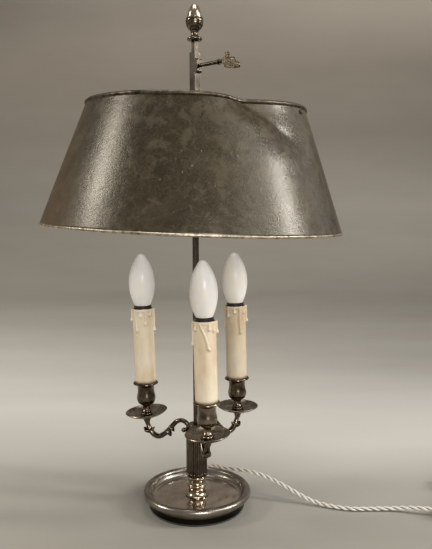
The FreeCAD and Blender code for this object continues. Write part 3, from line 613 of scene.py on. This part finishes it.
def shade_point(azimuth, share, inset=0.0):
    """Point of the wall, a share of the way up and an inset behind its outer face."""
    way = facing(azimuth)
    dent = dent_at(azimuth, share)
    away = abs(azimuth - SCREW_AZIMUTH) % 180.0
    calm = smooth(min(away, 180.0 - away) / 12.0)  # the wall stays plain round the two screws
    swell = noise.noise(way * 1.7 + Vector((0, 0, share * 1.3))) * calm
    radius = SHADE_BOTTOM + (SHADE_TOP - SHADE_BOTTOM) * share - inset / math.cos(SHADE_SLOPE)
    radius += -DENT_DEPTH * dent + 0.0011 * swell - 0.0006
    height = SHADE_HEIGHT * share - DENT_SINK * dent * share
    height += 0.0009 * noise.noise(way * 2.6 + Vector((4, 0, share))) * calm * abs(2 * share - 1)
    return hang(way * radius + Vector((0, 0, height)))


def closed_rings(name, rings):
    """Closed skin over rings of equal size that follow one another back to the first."""
    work = bmesh.new()
    made = [[work.verts.new(p) for p in ring] for ring in rings]
    for here, there in zip(made, made[1:] + made[:1]):
        for i in range(len(here)):
            j = (i + 1) % len(here)
            work.faces.new((here[i], here[j], there[j], there[i])).smooth = True
    bmesh.ops.recalc_face_normals(work, faces=work.faces)
    mesh = bpy.data.meshes.new(name)
    work.to_mesh(mesh)
    work.free()
    return mesh


def shade_skin():
    columns, rows = 360, 52
    shares = [i / rows for i in range(rows + 1)]
    angles = [360.0 * i / columns for i in range(columns)]
    rings = [[shade_point(a, share) for a in angles] for share in shares]
    rings += [[shade_point(a, share, SHADE_SHEET) for a in angles] for share in reversed(shares)]
    return closed_rings("shade_skin", rings)


EDGE_SIDES = 14


def shade_edge(name, share, thick):
    """Wired edge that follows the wall's edge, worn a little uneven."""
    rings = []
    for i in range(360):
        middle = shade_point(i, share, SHADE_SHEET / 2)
        way = facing(i)
        worn = thick * (1 + 0.05 * noise.noise(way * 9.0 + Vector((0, 7, share))))
        turns = [math.tau * k / EDGE_SIDES for k in range(EDGE_SIDES)]
        rings.append([
            middle + way * worn * math.cos(turn) + Vector((0, 0, worn * math.sin(turn))) for turn in turns
        ])
    return closed_rings(name, rings)


wall = add_object("shade_skin", shade_skin(), "shade", japan)
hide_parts("shade_wall")
top_ring = shade_edge("shade_top_edge", 1.0, 0.0026)
top_edge = add_object("shade_top_edge", top_ring, "shade", dark_edge)
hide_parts("shade_top_bead")
low_ring = shade_edge("shade_low_edge", 0.0, 0.0018)
low_edge = add_object("shade_low_edge", low_ring, "shade", gilding)
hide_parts("shade_bottom_bead")

# Candle sleeves with wax runs, each in its own leaning frame

ARM_REACH = 0.072
ARM_AZIMUTHS = {"front": 11.0, "right": 126.5, "left": -109.0}
PAN_SEAT = 0.1169
LEAN = Matrix.Rotation(math.radians(-1.4), 3, "Y")
SLEEVE_LOW = 0.0481
SLEEVE_HIGH = 0.1507
SLEEVE_RADIUS = 0.0142
SLEEVE_BORE = 0.0121
# wax runs of each sleeve: azimuth in degrees, length and half width in millimetres, slant in degrees
# for each millimetre down
RUNS = {
    "front": [
        (-80, 28, 2.4, 0.0), (-52, 9, 2.1, 0.0), (-24, 33, 2.3, 1.35), (20, 9, 2.1, 0.2), (50, 11, 2.1, 0.0),
        (82, 14, 2.7, 0.0), (130, 10, 2.2, 0.1), (175, 21, 2.3, -0.1), (225, 12, 2.4, 0.2),
    ],
    "right": [
        (-80, 27, 2.4, 0.0), (-46, 13, 2.2, 0.2), (-8, 8, 2.0, 0.0), (18, 36, 2.0, 0.15), (52, 9, 2.1, 0.0),
        (84, 21, 2.8, 0.0), (135, 11, 2.2, 0.1), (180, 24, 2.3, -0.2), (232, 9, 2.3, 0.0),
    ],
    "left": [
        (-84, 15, 2.6, 0.0), (-40, 28, 2.2, 0.2), (-8, 9, 2.0, 0.0), (14, 20, 1.9, 0.2), (46, 8, 2.1, 0.0),
        (84, 29, 2.5, 0.0), (125, 12, 2.2, 0.1), (170, 18, 2.3, -0.1), (228, 22, 2.3, 0.1),
    ],
}


def wax_rise(place, azimuth, drop):
    """Height of the wax over the plain tube in millimetres, a drop in millimetres below the top."""
    rise = 0.0
    for i, (middle, length, wide, slant) in enumerate(RUNS[place]):
        wander = 1.6 * math.sin(0.22 * drop + 2.1 * i) + slant * drop
        away = (azimuth - middle - wander + 180.0) % 360.0 - 180.0
        across = math.radians(away) * SLEEVE_RADIUS * 1000
        bead = wide * (0.72 + 0.45 * math.exp(-((drop - length) / 2.4) ** 2))
        reach = math.hypot(across, max(0.0, drop - length))
        if reach < bead:
            thick = (0.74 + 0.46 * math.exp(-((drop - length) / 2.8) ** 2)) * wide
            rise = max(rise, thick * math.sqrt(1 - (reach / bead) ** 2))
    way = facing(azimuth)
    lumps = noise.noise(way * 2.4 + Vector((len(place), 0, 0)))
    collar = (1 - smooth((drop - 1.6 - 2.4 * lumps) / 3.0)) * (0.75 + 0.45 * lumps)
    skin = 0.10 * noise.noise(way * 1.8 + Vector((0, len(place), drop * 0.09)))
    return max(rise, collar, 0.0) + skin


def sleeve_mesh(place):
    name = "wax_sleeve_" + place
    base = facing(ARM_AZIMUTHS[place]) * ARM_REACH + Vector((0, 0, PAN_SEAT))
    columns = 132
    drops = [i * 0.5 for i in range(84)] + [42 + 6.0 * i for i in range(1, 10)]
    low = (SLEEVE_HIGH - SLEEVE_LOW) * 1000
    drops = [d for d in drops if d < low - 2] + [low]
    rings = []

    def ring(radius_of, height_of):
        points = []
        for i in range(columns):
            azimuth = 360.0 * i / columns
            spot = facing(azimuth) * radius_of(azimuth) + Vector((0, 0, height_of(azimuth)))
            points.append(LEAN @ spot + base)
        return points

    def top(azimuth):
        way = facing(azimuth)
        return SLEEVE_HIGH - 0.0005 + 0.0005 * noise.noise(way * 2.2 + Vector((0, 3, len(place))))

    for drop in reversed(drops):
        share = smooth(1 - drop / 6.0)
        rings.append(ring(
            lambda a: SLEEVE_RADIUS + 0.001 * wax_rise(place, a, drop),
            lambda a: SLEEVE_HIGH - 0.001 * (drop + 0.9) + share * (top(a) - SLEEVE_HIGH),
        ))
    for inward, fall in ((0.35, 0.0004), (0.8, 0.0), (1.5, 0.0002)):
        rings.append(ring(
            lambda a: max(SLEEVE_RADIUS + 0.001 * (wax_rise(place, a, 0.0) - inward), SLEEVE_BORE + 0.0002),
            lambda a: top(a) - fall,
        ))
    rings.append(ring(lambda a: SLEEVE_BORE, lambda a: top(a) - 0.0008))
    rings.append(ring(lambda a: SLEEVE_BORE, lambda a: SLEEVE_HIGH - 0.02))
    rings.append(ring(lambda a: SLEEVE_BORE, lambda a: SLEEVE_LOW))
    for point in range(columns):
        rings[0][point].z = rings[-1][point].z
    return closed_rings(name, rings)


for place in PLACES:
    # The right sleeve gets the darker copy of the wax as painted shade.
    finish = shaded_wax if place == "right" else wax
    sleeve = add_object("wax_sleeve_" + place, sleeve_mesh(place), "lamp", finish)
    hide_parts("candle_sleeve_" + place)

# Candle cups: radius and height in millimetres above the foot, with a thin turned-out lip

CUP_FOOT = 3.0
CUP_PROFILE = [
    (3.4, 0.0), (7.2, 0.0), (7.65, 0.6), (7.7, 1.3), (7.6, 2.1), (7.2, 2.6), (6.3, 3.0), (6.0, 3.3), (6.3, 3.9),
    (6.5, 4.6), (6.3, 5.4), (5.8, 5.9), (5.2, 6.6), (4.9, 7.6), (4.8, 8.8), (4.8, 10.2), (4.9, 11.3), (5.4, 12.4),
    (6.6, 13.4), (8.6, 14.6), (10.5, 16.2), (11.9, 18.4), (12.7, 20.9), (12.9, 23.0), (12.7, 25.4), (12.1, 28.2),
    (11.6, 30.8), (11.3, 33.4), (11.2, 36.0), (11.5, 38.6), (12.2, 40.6), (13.5, 42.0), (15.2, 42.8), (16.5, 43.1),
    (16.9, 43.5), (16.9, 44.3), (16.5, 44.9), (15.8, 45.1), (10.0, 45.1), (10.0, 34.1), (3.4, 34.1),
]


def cup_mesh(place):
    base = facing(ARM_AZIMUTHS[place]) * ARM_REACH + Vector((0, 0, PAN_SEAT))
    rings = []
    for radius, height in CUP_PROFILE:
        rise = Vector((0, 0, 0.001 * (CUP_FOOT + height)))
        rings.append([LEAN @ (facing(angle) * 0.001 * radius + rise) + base for angle in range(0, 360, 5)])
    return closed_rings("cup_shell_" + place, rings)


for place in PLACES:
    # The front cup gets the brighter copy as painted light; the other two get the plain dark cup.
    finish = lit_front_cup if place == "front" else dark_cup
    shell = add_object("cup_shell_" + place, cup_mesh(place), "lamp", finish)
    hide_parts("cup_" + place)
    smooth_by_angle(shell, 40)

for name, obj in frame["nodes"].items():
    if not obj.hide_render:
        smooth_by_angle(obj)

# Floor and backdrop: one sheet of grey paper that curves up far behind the lamp

PAPER_BEND_START = 1.9
PAPER_BEND = 1.1
PAPER_HALF_WIDTH = 4.0
PAPER_FRONT = -4.0
PAPER_TOP = 5.0
# distance back plus height in metres, base colour with the light and shade that fall on the paper painted in, and
# how much lighter it is painted to the right
PAPER = [
    (-0.102, (0.305, 0.291, 0.256), -0.21),
    (0.050, (0.378, 0.362, 0.322), 0.05),
    (0.206, (0.511, 0.496, 0.457), 0.07),
    (0.421, (0.563, 0.548, 0.510), -0.29),
    (0.736, (0.466, 0.449, 0.411), -0.45),
    (1.348, (0.392, 0.375, 0.338), -0.28),
    (2.394, (0.372, 0.350, 0.312), -0.02),
    (3.100, (0.380, 0.354, 0.316), 0.10),
    (3.706, (0.313, 0.286, 0.244), -0.01),
    (4.149, (0.359, 0.322, 0.277), -0.01),
    (4.466, (0.419, 0.381, 0.330), 0.27),
    (5.200, (0.600, 0.580, 0.540), 0.00),
]


def backdrop():
    profile = [(PAPER_FRONT, 0.0), (PAPER_BEND_START, 0.0)]
    for i in range(1, 25):
        angle = math.pi / 2 * i / 24
        profile.append((PAPER_BEND_START + PAPER_BEND * math.sin(angle), PAPER_BEND * (1 - math.cos(angle))))
    profile.append((PAPER_BEND_START + PAPER_BEND, PAPER_TOP))
    work = bmesh.new()
    rows = [[work.verts.new((x, y, z)) for x in (-PAPER_HALF_WIDTH, PAPER_HALF_WIDTH)] for y, z in profile]
    for low, high in zip(rows, rows[1:]):
        work.faces.new((low[0], low[1], high[1], high[0])).smooth = True
    mesh = bpy.data.meshes.new("backdrop")
    work.to_mesh(mesh)
    work.free()
    obj = bpy.data.objects.new("backdrop", mesh)
    bpy.context.scene.collection.objects.link(obj)
    material, tree, shader = new_material("grey paper")
    here = node(tree, "SeparateXYZ", {"Vector": position(tree)})
    depth = math_node(tree, "ADD", here.outputs[1], here.outputs[2])
    near, far = PAPER[0][0], PAPER[-1][0]
    share = node(tree, "MapRange", {"Value": depth, "From Min": near, "From Max": far}).outputs[0]
    places = [(back - near) / (far - near) for back, _, _ in PAPER]
    # Painted light and shade: the paper's tone follows the falling-off light and the lamp's soft shadow, by
    # distance back and height.
    tone = ramp(tree, share, [(place, colour) for place, (_, colour, _) in zip(places, PAPER)])
    painted_side_light = ramp(tree, share, [(place, (painted_side_light + 0.5,) * 3) for place, (_, _, painted_side_light) in zip(places, PAPER)])
    painted_side_light = math_node(tree, "SUBTRACT", painted_side_light, 0.5)
    # Painted shade: soft streaks like the shadows of wrinkles in the paper.
    clouds = noise_at(tree, stretch(tree, position(tree), (0.7, 2.2, 2.2)), 2.0, 3.0)
    sideways = math_node(tree, "MULTIPLY", painted_side_light, here.outputs[0])
    gain = math_node(tree, "ADD", level(tree, clouds, 0.88, 1.12), sideways)
    tone = node(tree, "VectorMath", {0: tone, "Scale": gain}, operation="SCALE").outputs[0]
    wire(tree, tone, shader, "Base Color")
    shader.inputs["Roughness"].default_value = 0.9
    shader.inputs["Specular IOR Level"].default_value = 0.2
    mesh.materials.append(material)


backdrop()

# Lights


def softbox(name, place, target, size, power, colour=(1.0, 1.0, 1.0)):
    data = bpy.data.lights.new(name, "AREA")
    data.shape = "RECTANGLE"
    data.size, data.size_y = size
    data.energy = power
    data.color = colour
    lamp = bpy.data.objects.new(name, data)
    bpy.context.scene.collection.objects.link(lamp)
    lamp.visible_camera = False
    lamp.location = place
    lamp.rotation_mode = "QUATERNION"
    lamp.rotation_quaternion = (Vector(target) - Vector(place)).to_track_quat("-Z", "Y")


softbox("left window", (-2.2, -0.22, 1.70), (0, 0, 0.45), (0.5, 0.62), 20, (1.0, 0.94, 0.87))
softbox("right window", (2.20, -0.42, 1.35), (0, 0, 0.45), (0.32, 0.90), 30, (1.0, 0.98, 0.96))
softbox("right rear", (2.10, 0.95, 1.20), (0, 0, 0.40), (1.0, 1.2), 2.1, (1.0, 0.96, 0.91))
softbox("right room", (1.9, -1.15, 1.95), (0, 0, 0.45), (1.5, 1.2), 15, (1.0, 0.97, 0.93))
softbox("ceiling", (0.0, -0.3, 2.5), (0, 0, 0), (1.6, 1.2), 22, (1.0, 0.97, 0.93))
softbox("front fill", (0.5, -2.6, 0.95), (0, 0, 0.3), (0.9, 0.8), 32, (1.0, 0.97, 0.94))

world = bpy.data.worlds.new("room")
bpy.context.scene.world = world
world.use_nodes = True
world.node_tree.nodes["Background"].inputs["Color"].default_value = (0.36, 0.34, 0.30, 1.0)
world.node_tree.nodes["Background"].inputs["Strength"].default_value = 0.7

# Camera

CAMERA_PLACE = Vector((0.0, -0.878287, 0.415643))
CAMERA_PITCH = 0.114243
CAMERA_YAW = 0.030145
CAMERA_ROLL = -0.001652
FOCAL_PIXELS = 674.5065
PICTURE_HEIGHT = 549.0
SENSOR = 36.0

camera_data = bpy.data.cameras.new("camera")
camera = bpy.data.objects.new("camera", camera_data)
bpy.context.scene.collection.objects.link(camera)
bpy.context.scene.camera = camera
camera_data.sensor_fit = "AUTO"
camera_data.sensor_width = SENSOR
camera_data.lens = FOCAL_PIXELS / PICTURE_HEIGHT * SENSOR
camera_data.clip_start, camera_data.clip_end = 0.01, 50.0
forward = Vector((
    math.sin(CAMERA_YAW) * math.cos(CAMERA_PITCH),
    math.cos(CAMERA_YAW) * math.cos(CAMERA_PITCH),
    -math.sin(CAMERA_PITCH),
))
right = Vector((math.cos(CAMERA_YAW), -math.sin(CAMERA_YAW), 0.0))
up = right.cross(forward)
across = right * math.cos(CAMERA_ROLL) + up * math.sin(CAMERA_ROLL)
upward = up * math.cos(CAMERA_ROLL) - right * math.sin(CAMERA_ROLL)
turn = Matrix((across, upward, -forward)).transposed()
camera.rotation_mode = "QUATERNION"
camera.rotation_quaternion = turn.to_quaternion()
camera.location = CAMERA_PLACE

bpy.context.scene.view_settings.view_transform = "Standard"
